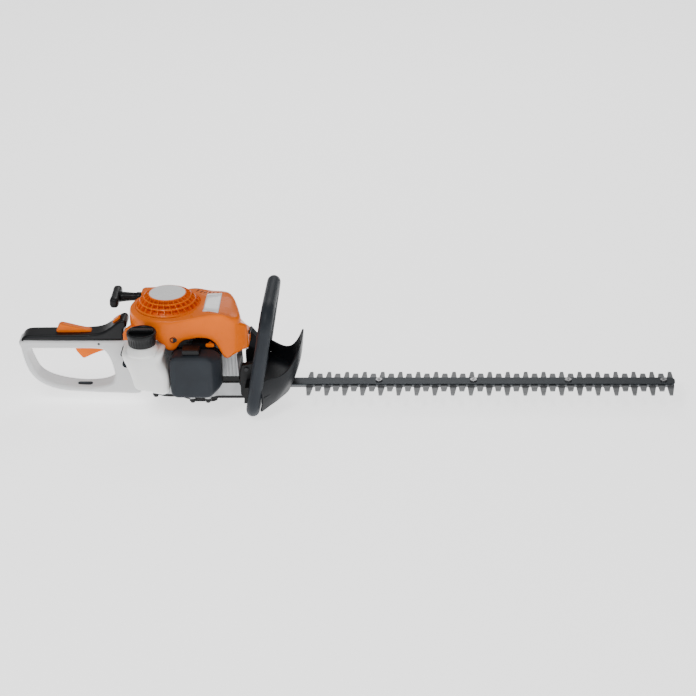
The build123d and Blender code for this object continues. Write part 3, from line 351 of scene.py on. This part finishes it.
# --------------------------------------------------------------- engine shroud
CRANK_X = -52.0
GRILLE_R = 54.0
AROUND = 144
DECK_REAR = 176
DECK_FRONT = 186
FAR_HEM = 134
SHROUD_PLAN = smooth_loop([
    (-52, -64), (-20, -63), (16, -62), (50, -60), (67, -54), (72, -42), (69, -22), (65, -4),
    (60, 14), (53, 31), (40, 46), (22, 57), (0, 63), (-26, 64.5), (-52, 64), (-84, 55.4),
    (-107.4, 32), (-116, 0), (-107.4, -32), (-84, -55.4),
], 10)
HEM_LINE = [
    (-116, 138), (-76, 138), (-66, 139), (-58, 133), (-52, 125), (-47, 120.5), (-36, 120.5),
    (-33, 124), (-29, 132), (-22, 138.5), (3, 143), (20, 141.5), (31, 134), (38, 120), (43, 104),
    (49, 101.5), (55, 105), (64, 114), (76, 121), (90, 121),
]
SHELL_RINGS = (
    ("hem", -0.4), ("mid", -1.2), ("below", -0.6), ("crease", 0.0), ("over", 2.2),
    ("near_deck", 6.5), ("deck", None), ("lip", None), ("inner", None),
)


def plan_radius(angle):
    """Distance from the crank axis to the shroud's outline along an angle."""
    best = None
    ray = Vector((cos(angle), sin(angle)))
    n = len(SHROUD_PLAN)
    for i in range(n):
        a = Vector(SHROUD_PLAN[i]) - Vector((CRANK_X, 0))
        b = Vector(SHROUD_PLAN[(i + 1) % n]) - Vector((CRANK_X, 0))
        side = b - a
        cross = ray.x * side.y - ray.y * side.x
        if abs(cross) < 1e-9:
            continue
        t = (a.x * side.y - a.y * side.x) / cross
        s = (a.x * ray.y - a.y * ray.x) / cross
        if t > 0 and -1e-6 <= s <= 1 + 1e-6:
            best = t if best is None else max(best, t)
    return best


def mix(a, b, t):
    """Eased step from a to b as t goes from 0 to 1."""
    t = max(0.0, min(1.0, t))
    t = t * t * (3 - 2 * t)
    return a + (b - a) * t


def deck_height(x, y):
    """Top surface of the shroud: it rises forwards, then falls to the front and far edges."""
    level = mix(DECK_REAR, DECK_FRONT, (x + 40) / 80)
    level -= mix(0, 9, (x - 42) / 24)
    level -= mix(0, 9, (y - 12) / 50) * mix(0, 1, (x + 20) / 40)
    return level


def crease_height(x, y):
    """Edge between the wall and the top."""
    return deck_height(x, y) - mix(5.5, 1.8, (x + 60) / 60) - mix(0, 4, (x - 44) / 20)


def hem_height(x, y):
    """Lower edge: raised over the filler cap, dropped at the screw, arched over the latch."""
    near = HEM_LINE[-1][1]
    for (x0, z0), (x1, z1) in zip(HEM_LINE, HEM_LINE[1:]):
        if x0 <= x <= x1:
            near = z0 + (z1 - z0) * (x - x0) / (x1 - x0)
            break
    return mix(FAR_HEM, near, (-y - 4) / 24)


def shroud_shell():
    """Thin shell from the hem up over the crease and in to the grille."""
    rings = [[] for _ in SHELL_RINGS]
    for i in range(AROUND):
        a = 2 * pi * i / AROUND
        edge = plan_radius(a)
        inner_radius = {
            "deck": GRILLE_R + min(2.0, (edge - GRILLE_R) * 0.3),
            "lip": GRILLE_R,
            "inner": GRILLE_R - 0.5,
        }
        for k, (kind, inset) in enumerate(SHELL_RINGS):
            if kind in inner_radius:
                r = inner_radius[kind]
            else:
                r = max(GRILLE_R + 2.6 - 0.3 * k, edge - inset)
            x, y = CRANK_X + r * cos(a), r * sin(a)
            hem, crease, deck = hem_height(x, y), crease_height(x, y), deck_height(x, y)
            z = {
                "hem": hem,
                "mid": (hem + crease) / 2 - 2,
                "below": crease - 4,
                "crease": crease,
                "over": crease + (deck - crease) * 0.62,
                "near_deck": deck,
                "deck": deck,
                "lip": deck + 0.6,
                "inner": deck - 5,
            }[kind]
            rings[k].append((x, y, z))
    obj = skin("shroud_shell", rings, caps=(False, False))
    thicken(obj, "wall", 2.2, -1)
    return subdivide(obj, 1)


# x, top, bottom, near side, far side, and how far the top falls per mm across
NOSE_SECTIONS = (
    (50, 172, 106, -60, 36, 0.1), (58, 173, 107, -58.5, 30, 0.25),
    (66, 170.5, 111, -55, 24, 0.42), (74, 166, 114, -50, 19, 0.5),
    (81, 161.5, 115, -46, 15, 0.55), (84.5, 157, 116, -43.5, 12, 0.55),
)


def shroud_nose():
    """Block in front of the deck over the plug; its top slopes down to the far side."""
    sections = []
    for x, top, bottom, near, far, slope in NOSE_SECTIONS:
        width, height = far - near, top - bottom
        section = []
        for p, q in round_rect((near + far) / 2, (top + bottom) / 2, width, height, 8):
            section.append((x, p, q - slope * (p - near) * (q - bottom) / height))
        sections.append(section)
    obj = skin("shroud_nose", sections, caps=(False, True))
    thicken(obj, "wall", 2.4, -1)
    return subdivide(obj, 2)


GRILLE_BANDS = [29.8, 32.0, 38.6, 40.2, 45.6, 47.2, 52.2, 54.4]
GRILLE_RIBS = 26
GRILLE_TOP = 197
GRILLE_DROP = 20.5
RIB_ANGLE = 0.028
RIB_TWIST = 0.006


def grille():
    """Domed intake grille: ring bars and ribs as one sheet, thickened downwards."""
    gap = 2 * pi / GRILLE_RIBS - RIB_ANGLE
    steps = []
    for k in range(GRILLE_RIBS):
        start = 2 * pi * k / GRILLE_RIBS
        steps += [start, start + RIB_ANGLE]
        steps += [start + RIB_ANGLE + gap * j / 3 for j in (1, 2)]
    verts, faces = [], []
    inner, outer = GRILLE_BANDS[0], GRILLE_BANDS[-1]
    for r in GRILLE_BANDS:
        drop = ((r - inner) / (outer - inner)) ** 1.7
        for a in steps:
            turn = a + RIB_TWIST * (r - 31)
            place = (CRANK_X + r * cos(turn), r * sin(turn), GRILLE_TOP - GRILLE_DROP * drop)
            verts.append(place)
    n = len(steps)
    for band in range(len(GRILLE_BANDS) - 1):
        here, beyond = band * n, (band + 1) * n
        for j in range(n):
            is_rib = j % 4 == 0
            if band % 2 == 0 or is_rib:
                k = (j + 1) % n
                faces.append((here + j, here + k, beyond + k, beyond + j))
    sheet = mesh_object("intake_grille", verts, faces)
    thicken(sheet, "depth", 10, -1).use_even_offset = False
    bevelled(sheet, 0.35, 2)
    return sheet


shell = shroud_shell()
finish_piece(shell, orange, CHASSIS, "engine_shroud")
finish_piece(shroud_nose(), orange, CHASSIS)
finish_piece(grille(), orange, CHASSIS)

grille_floor = lathe("grille_floor", (CRANK_X, 0, 0), [
    (28, 184), (28, 186), (35, 185), (40, 181.5), (45, 177), (50, 171.5), (53.5, 167.5),
    (53.5, 165), (50, 169.5), (45, 175), (40, 179.5), (35, 183)], 96)
finish_piece(grille_floor, orange, CHASSIS)

crown = lathe("grille_crown", (CRANK_X, 0, 0), [
    (0.5, 192.5), (27, 192.5), (30, 192.5), (31.7, 194.5), (31.5, 196.8), (30.5, 197.4),
    (30.2, 196.4), (20, 196.3), (0.5, 196.3)])
finish_piece(crown, orange, CHASSIS)

STARTER_Y = 48
STARTER_Z = 168
outlet = lathe("rope_outlet", (0, STARTER_Y, STARTER_Z), [
    (3.4, -88), (9.8, -88), (9.6, -98), (8.9, -100.6), (8, -101.6), (4.4, -101.6),
    (3.4, -100)], 40, "X")
finish_piece(outlet, orange, CHASSIS)

outlet_block = slab("outlet_block", [[
    (-99.5, 37), (-102, 40), (-102, 56), (-98, 61), (-70, 62), (-60, 61), (-88, 46),
    (-90, 37)]], 156, 180, 2.4, False)
finish_piece(outlet_block, orange, CHASSIS)

rear_tab = slab("rear_tab", [[
    (-124.5, 129), (-100, 129), (-100, 156), (-113, 153), (-121, 147),
    (-124.5, 140)]], -41, -31, 1.5)
finish_piece(rear_tab, orange, CHASSIS)

bpy.context.view_layer.update()
top_skin = shell.evaluated_get(bpy.context.evaluated_depsgraph_get())
DOWN = Vector((0, 0, -1))
ABOVE_ALL = 400


def deck_patch(name, corners, lift, steps=12):
    """Thin patch draped over the shroud's deck between four plan corners."""
    (ax, ay), (bx, by), (cx, cy), (dx, dy) = corners
    verts, faces = [], []
    for i in range(steps + 1):
        for j in range(steps + 1):
            u, v = i / steps, j / steps
            x = (ax * (1 - u) + bx * u) * (1 - v) + (dx * (1 - u) + cx * u) * v
            y = (ay * (1 - u) + by * u) * (1 - v) + (dy * (1 - u) + cy * u) * v
            hit, place, _, _ = top_skin.ray_cast(Vector((x, y, ABOVE_ALL)) * MM, DOWN)
            verts.append((x, y, (place.z / MM if hit else deck_height(x, y)) + lift))
    for i in range(steps):
        for j in range(steps):
            k = i * (steps + 1) + j
            faces.append((k, k + steps + 1, k + steps + 2, k + 1))
    patch = mesh_object(name, verts, faces)
    thicken(patch, "sheet", 0.5, 0)
    return patch


label = deck_patch("deck_label_sheet", [(10.5, -43), (36, -43), (35.5, 31), (10.5, 31)], 0.25)
finish_piece(label, badge_white, CHASSIS, "deck_label")
# six vent slots as thin black sheets draped on the deck: painted shade standing in for the
# openings, which are not cut
for k in range(6):
    x, y = -7 + 6.8 * k, 55.5 - 4.2 * k
    slot_corners = [(x, y), (x + 2, y + 0.4), (x - 1.5, y - 8), (x - 3.5, y - 8.4)]
    vent_shade = deck_patch("deck_vent_%d" % k, slot_corners, 0.15, 4)
    finish_piece(vent_shade, black, CHASSIS)

recess = lathe("screw_recess", (-39, 0, 141.5), [
    (0.4, -64.6), (3.2, -64.6), (3.4, -66.4), (4.4, -66.4), (4.6, -64.8), (6.0, -65.2),
    (6.6, -64.4), (6.6, -59)], 40, "Y")
finish_piece(recess, black, CHASSIS)


# ----------------------------------------------------------------- tank and cap
CAP_X = -87.0
CAP_Y = -82.0
TANK_TOP = 134
# share of the height, left, right, near side, far side, corner radius
TANK_SECTIONS = (
    (0.0, -97, -50, -96, -50, 9), (0.03, -102, -46, -100, -46, 12),
    (0.1, -104, -44.8, -101.5, -43.5, 13), (0.3, -106.5, -44.3, -102, -43, 14),
    (0.5, -111, -45, -102, -43, 14), (0.66, -115.5, -51.5, -102, -43, 14),
    (0.76, -118.5, -56, -101.6, -43, 14), (0.88, -121, -53, -101.2, -43.6, 14),
    (0.95, -120.6, -50.5, -98.5, -46, 13), (0.985, -116.5, -54, -94, -50, 12),
    (1.0, -109, -61, -87, -57, 9),
)


def tank_body():
    """Blow-moulded tank, wide at the shoulder, waisted on one side, with two lobes below."""
    rings = []
    for level, left, right, near, far, radius in TANK_SECTIONS:
        outline = round_rect(
            (left + right) / 2, (near + far) / 2, right - left, far - near, radius, 10)
        ring = []
        for x, y in outline:
            lobe = mix(64, 56, (x + 84) / 22)
            notch = 7 * max(0, 1 - abs(x + 73) / 9)
            foot = lobe + notch
            ring.append((x, y, foot + (TANK_TOP - foot) * level))
        rings.append(ring)
    return subdivide(skin("tank_body", rings), 2)


finish_piece(tank_body(), tank_plastic, CHASSIS, "fuel_tank")
neck = lathe("tank_neck", (CAP_X, CAP_Y, 0), [
    (13, 128), (13, 147.2), (15, 147.5), (18.4, 147.5), (19, 146.8), (19, 142.6), (22, 141.4),
    (24, 138), (27, 132), (28, 128)], 48)
finish_piece(neck, tank_plastic, CHASSIS)


def knurl(row, angle):
    """Thirty shallow ridges round the cap's skirt."""
    return 1 + (0.018 * cos(30 * angle) if 2 <= row <= 4 else 0)


# screw cap: knurled skirt, rolled rim, dished top
cap_skirt = lathe("cap_skirt", (CAP_X, CAP_Y, 21.3), [
    (19.6, 121.3), (21.6, 121), (22.2, 121.8), (22.9, 130), (23.4, 136), (24.5, 137.4),
    (24.6, 142.6), (24.0, 143.8), (22.8, 144), (21.6, 143.2), (20.6, 141.4), (12, 140.9),
    (0.4, 140.8)], 180, "Z", knurl)
finish_piece(cap_skirt, black, "cap", "fuel_cap")

CAP_BAR = [
    (-20, 0), (-18, -3.4), (-9, -3.9), (0, -4.2), (9, -3.9), (18, -3.4), (20, 0), (18, 3.4),
    (9, 3.9), (0, 4.2), (-9, 3.9), (-18, 3.4)]
cap_bar_outline = smooth_loop([(CAP_X + p, CAP_Y + q) for p, q in CAP_BAR], 5)
grip_bar = slab("cap_grip", [cap_bar_outline], 160.8, 169.6, 1.6, False)
finish_piece(grip_bar, black, "cap")


# ----------------------------------------------------------------- rear handle
FRAME_OUTLINE = smooth_loop([
    (-301, 117), (-301.3, 100), (-297, 77), (-290, 58), (-277, 41.5), (-257, 30), (-232, 23.5),
    (-189, 20.5), (-141, 18.7), (-112, 18), (-104, 22), (-102, 34), (-102, 75), (-103, 108),
    (-112, 117), (-150, 117), (-200, 117), (-250, 117)], 6)
LOOP_OUTLINE = smooth_loop([
    (-280, 102), (-250, 102), (-215, 102), (-180, 101.7), (-166, 100), (-158.5, 94), (-152, 80),
    (-147.5, 60), (-147, 49), (-153, 39.5), (-168, 33.5), (-190, 31), (-215, 32), (-240, 36.5),
    (-262, 44.5), (-276, 56), (-284, 73), (-290, 93), (-287.5, 100)], 6)
# the first and last points only steer the curve, and their spans are cut off
COVER_OUTLINE = smooth_loop([
    (-301, 114), (-300.6, 117), (-298.6, 121), (-293, 125), (-284, 126.8), (-260, 127.2),
    (-225, 127.5), (-190, 128), (-167, 131), (-152, 138.5), (-141, 147), (-132, 153),
    (-125, 153.4), (-121.6, 149), (-122, 142), (-126, 139), (-127.3, 130), (-127.3, 117),
    (-127.3, 110)], 5)[5:-10] + [(-127.3, 117)]
TRIGGER_OUTLINE = smooth_loop([
    (-211, 106), (-211.5, 95), (-207, 87.5), (-201.5, 80.5), (-197.5, 79.5), (-193, 81.5),
    (-184, 86), (-172, 91), (-162.5, 95), (-161, 105), (-169, 113), (-190, 112)], 5)
LOCKOUT_OUTLINE = smooth_loop([
    (-240, 127), (-239, 137), (-236.5, 141), (-232, 142.3), (-222, 140.3), (-206, 136),
    (-192, 132.8), (-184, 130.4), (-183, 125), (-190, 123.5), (-215, 125)], 5)

handle_shell = slab("handle_shell", [FRAME_OUTLINE, LOOP_OUTLINE], -17.5, 17.5, 4.6)
finish_piece(handle_shell, white, CHASSIS, "handle_frame")
handle_top = slab("handle_top", [COVER_OUTLINE], -17.6, 17.6, 3.6)
finish_piece(handle_top, black, CHASSIS, "handle_cover")
trigger = slab("trigger_blade", [TRIGGER_OUTLINE], -5.8, 5.8, 2.2)
finish_piece(trigger, orange, "throttle", "throttle_trigger")
lockout = slab("lockout_lever", [LOCKOUT_OUTLINE], -6, 6, 1.8)
finish_piece(lockout, orange, "lockout", "trigger_lockout")
grip_slot = slab("grip_slot", [round_rect(-200, -3, 25, 9, 4)], 30, 32.6, 0.3, False)
finish_piece(grip_slot, slate, CHASSIS)

for number, (x, z, radius) in enumerate(((-123.5, 83, 6.2), (-127, 103, 4.2))):
    mount = lathe("handle_buffer_%d" % number, (x, 0, z), [
        (0.5, -17), (radius, -17), (radius, -22), (radius - 1.4, -24), (radius - 1.4, -28),
        (radius, -30), (radius, -37), (radius - 1, -38.5), (0.5, -38.5)], 32, "Y")
    finish_piece(mount, rubber, CHASSIS)


# ------------------------------------------------------------ air filter cover
# y, left, right, low, high, corner radius
FILTER_SECTIONS = (
    (-63.8, -43, 40, 49.9, 126.3, 17), (-70, -43.2, 40, 49.6, 126.4, 18),
    (-82, -43.2, 36, 49.6, 126.4, 18), (-92, -43, 31, 50, 126, 14.5),
    (-97, -42, 28, 51, 124.6, 12), (-99.4, -40, 25.6, 53.2, 122.4, 10),
    (-99.9, -36, 22, 57, 118.5, 8), (-100, -20, 6, 76, 100, 5),
)


def filter_shell():
    """Rounded cover whose right side swells towards the engine."""
    rings = []
    for y, left, right, low, high, radius in FILTER_SECTIONS:
        outline = round_rect(
            (left + right) / 2, (low + high) / 2, right - left, high - low, radius, 10)
        rings.append([(p, y, q) for p, q in outline])
    return subdivide(skin("filter_shell", rings), 2)


finish_piece(filter_shell(), slate, "air_cover", "filter_cover")
latch_clip = slab("latch_clip", [round_rect(-7, 130.6, 28, 8.4, 2)], -92.5, -89.5, 1.2)
finish_piece(latch_clip, black, "latch", "filter_latch")
latch_bridge = slab("latch_bridge", [round_rect(-7, -78, 28, 24, 3)], 128, 134.5, 1.4, False)
finish_piece(latch_bridge, black, "latch")


# --------------------------------------------------------------- starter grip
GRIP_X = -146
# y, half width in x, half height in z
GRIP_SECTIONS = (
    (17.6, 3, 3.5), (18.4, 6, 7), (21, 7.6, 8.8), (28, 8.2, 9.2), (38, 7.2, 8.4),
    (48, 7.8, 8.8), (58, 7.2, 8.4), (68, 8.2, 9.2), (75, 7.6, 8.8), (77.6, 6, 7),
    (78.4, 3, 3.5),
)


def squared(value):
    """Sine or cosine of a rounded square instead of a circle."""
    return abs(value) ** 0.7 * (1 if value > 0 else -1)


def grip_piece():
    """Cross bar of the starter grip, swelling for the fingers."""
    rings = []
    for y, half_x, half_z in GRIP_SECTIONS:
        ring = []
        for i in range(28):
            a = 2 * pi * i / 28
            ring.append((GRIP_X + half_x * squared(cos(a)), y,
                         STARTER_Z + half_z * squared(sin(a))))
        rings.append(ring)
    return subdivide(skin("grip_bar", rings), 1)


finish_piece(grip_piece(), black, "starter_pull", "starter_grip")
grip_neck = lathe("grip_neck", (0, STARTER_Y, STARTER_Z), [
    (2.5, -102.2), (6.8, -102.2), (7.8, -103.5), (7.8, -110), (6.8, -112), (7.3, -121),
    (8.4, -133), (9.6, -141), (2.5, -141)], 36, "X")
finish_piece(grip_neck, black, "starter_pull")


# ------------------------------------------------------------------ hand guard
# y, x and z of the upper and lower edges, from the middle out to a wing's tip
GUARD_TOP = [
    (0, 167, 120), (14, 167, 120), (29, 167, 119.5), (33, 163, 108), (40, 155.5, 90),
    (50, 142, 73), (60, 127, 70), (75, 109, 73), (88, 100, 70)]
GUARD_LOW = [
    (0, 149, 38), (14, 147, 37), (18, 143, 27), (27, 138, 25), (38, 131, 24), (50, 126, 24),
    (60, 121, 24), (72, 114, 24), (88, 101, 19)]
GUARD_ROWS = 9
GUARD_BOW = 5


def guard_sheet():
    """Symmetrical plate with swept wings, bowed forward at mid height."""
    half = []
    for top, low in zip(GUARD_TOP, GUARD_LOW):
        column = []
        for k in range(GUARD_ROWS):
            t = k / (GUARD_ROWS - 1)
            y = low[0] + (top[0] - low[0]) * t
            bow = GUARD_BOW * sin(pi * t)
            x = low[1] + (top[1] - low[1]) * t + bow
            column.append((x, y, low[2] + (top[2] - low[2]) * t))
        half.append(column)
    columns = [[(x, -y, z) for x, y, z in column] for column in half[:0:-1]] + half
    rows = [[column[k] for column in columns] for k in range(GUARD_ROWS)]
    sheet = skin("guard_sheet", rows, caps=(False, False), closed=False)
    subdivide(sheet, 2)
    thicken(sheet, "wall", 3, 1)
    bevelled(sheet, 0.8, 2)
    return sheet


finish_piece(guard_sheet(), guard_black, CHASSIS, "hand_guard")
shelf = slab("guard_shelf", [[
    (104, -87), (111, -87), (141, -45), (154, -12), (154, 12), (141, 45), (111, 87),
    (104, 87)]], 44, 47, 0.8, False)
finish_piece(shelf, guard_black, CHASSIS)

# cast ribs on the near face of the engine frame
RIB_LOW = 62
RIB_HIGH = 112
RIB_WIDTH = 1.8
for number, (foot_x, head_x) in enumerate(((41.5, 43), (47, 47.5), (52.5, 52), (58, 58.5))):
    rib = slab("frame_rib_%d" % number, [[
        (foot_x, RIB_LOW), (foot_x + RIB_WIDTH, RIB_LOW), (head_x + RIB_WIDTH, RIB_HIGH),
        (head_x, RIB_HIGH)]], -38.3, -36, 0.5)
    finish_piece(rib, cast, CHASSIS)

# CAD pieces whose own shape is right: only their edges are eased, by millimetres
for node, width in (
    ("handle_brackets", 3), ("spacer_band", 1), ("bottom_cover", 1.5), ("gear_housing", 2),
    ("engine_frame", 1.5), ("guide_bar", 0.4), ("upper_blade", 0.4), ("lower_blade", 0.4),
    ("spark_plug_boot", 3), ("stop_switch", 0.8), ("blade_screws", 0.5), ("blade_nuts", 0.5),
    ("muffler_guard", 1), ("badge_disc", 0.3), ("choke_knob", 1),
):
    bevelled(frame["nodes"][node], width, angle=40)


# --------------------------------------------------------- camera and lighting
VIEW_ELEVATION = radians(25.7)
VIEW_AZIMUTH = radians(4.5)
VIEW_ROLL = 0.035
VIEW_DISTANCE = 4.68525
VIEW_TARGET = Vector((0.24431, 0, 0.09508))
LAMPS_AIM = Vector((0.1, 0, 0.08))
FLOOR_HALF = 9.0
FLOOR_Z = -0.4


def add_camera():
    """Camera on the photograph's side, a little above and turned a little to the right."""
    elevation, azimuth, roll = VIEW_ELEVATION, VIEW_AZIMUTH, VIEW_ROLL
    level = cos(elevation)
    forward = Vector((-sin(azimuth) * level, cos(azimuth) * level, -sin(elevation)))
    right = Vector((cos(azimuth), sin(azimuth), 0))
    up = right.cross(forward)
    local_x = right * cos(roll) - up * sin(roll)
    local_y = right * sin(roll) + up * cos(roll)
    turn = Matrix((local_x, local_y, -forward)).transposed().to_4x4()
    data = bpy.data.cameras.new("camera")
    data.lens = 145.82
    data.sensor_width = 36
    camera = bpy.data.objects.new("camera", data)
    camera.matrix_world = Matrix.Translation(VIEW_TARGET - forward * VIEW_DISTANCE) @ turn
    bpy.context.scene.collection.objects.link(camera)
    bpy.context.scene.camera = camera


def add_lights():
    """White surroundings and three soft lamps."""
    world = bpy.data.worlds.new("studio")
    world.use_nodes = True
    background = world.node_tree.nodes["Background"]
    background.inputs["Color"].default_value = (1, 1, 1, 1)
    background.inputs["Strength"].default_value = 0.35
    bpy.context.scene.world = world

    for name, place, size, power in (
        ("key", (-0.6, -1.4, 2.2), 0.8, 26),
        ("fill", (1.6, -1.8, 1.2), 1.2, 8),
        ("rim", (0.2, 1.6, 1.6), 1.0, 12),
    ):
        light = bpy.data.lights.new(name, "AREA")
        light.size = size
        light.energy = power
        lamp = bpy.data.objects.new(name, light)
        lamp.location = place
        aim = LAMPS_AIM - Vector(place)
        lamp.rotation_euler = aim.to_track_quat("-Z", "Y").to_euler()
        bpy.context.scene.collection.objects.link(lamp)


def add_floor():
    """Pale floor just under the machine."""
    half = FLOOR_HALF / MM
    floor = mesh_object("floor", [
        (-half, -half, FLOOR_Z), (half, -half, FLOOR_Z), (half, half, FLOOR_Z),
        (-half, half, FLOOR_Z)], [(0, 1, 2, 3)], smooth=False)
    mat, nodes, links, shader = material("pale_floor", (0.93, 0.93, 0.93), 0.8)
    clouds = noise(nodes, links, 3, 3)
    mottled(nodes, links, shader, clouds, (0.925, 0.925, 0.925), (0.935, 0.935, 0.935))
    shader.inputs["Emission Color"].default_value = (1, 1, 1, 1)
    shader.inputs["Emission Strength"].default_value = 1.5
    floor.data.materials.append(mat)


add_camera()
add_lights()
add_floor()
